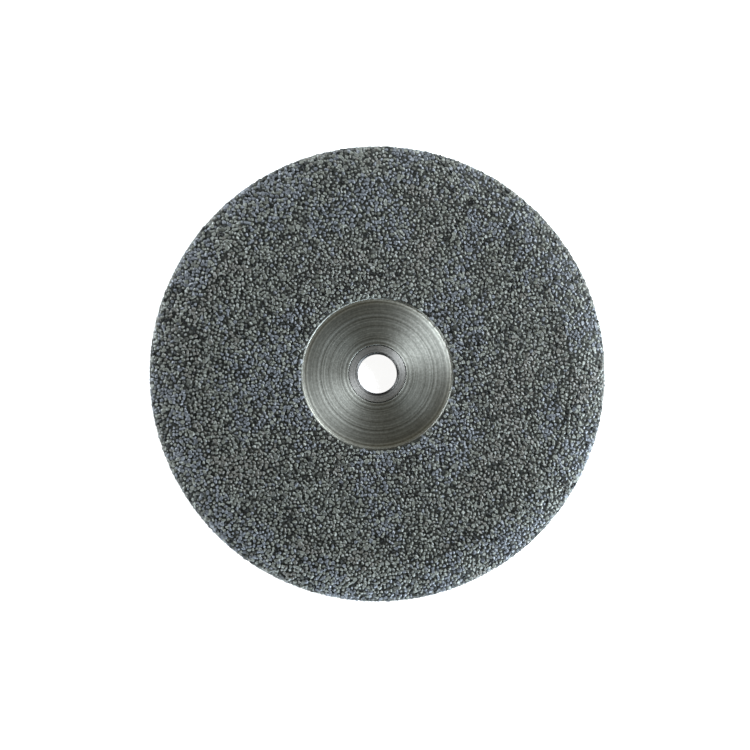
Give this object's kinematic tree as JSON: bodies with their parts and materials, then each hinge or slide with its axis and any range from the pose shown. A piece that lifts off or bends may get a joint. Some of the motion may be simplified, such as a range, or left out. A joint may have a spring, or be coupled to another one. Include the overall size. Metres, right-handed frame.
{
  "type": "diamond grinding wheel",
  "caption": "Round steel grinding wheel with diamond plated over its flat face, crowned shoulder and rim, a bare turned centre and a bushed arbor bore.",
  "frame": {"origin": "on the bore axis, in the plane of the wheel's back, which is what it lies on", "axes": "+Z along the bore towards the working face; X and Y are equal, since the wheel is turned"},
  "size_m": [0.1524, 0.1524, 0.008],
  "materials": {
    "core_steel": "turned steel, fine concentric tool marks on the bare centre and back",
    "bush_steel": "turned and chamfered steel, slightly brighter than the core",
    "face_diamond": "dark nickel bond with coarse diamond standing out of it, glittering, grey-green",
    "edge_diamond": "the same plating, coarser in its sparkle and bluer round the shoulder and rim"
  },
  "bodies": {
    "root": {"wheel_core": "core_steel", "arbor_bush": "bush_steel", "face_abrasive_layer": "face_diamond", "edge_abrasive_layer": "edge_diamond"}
  },
  "joints": []
}
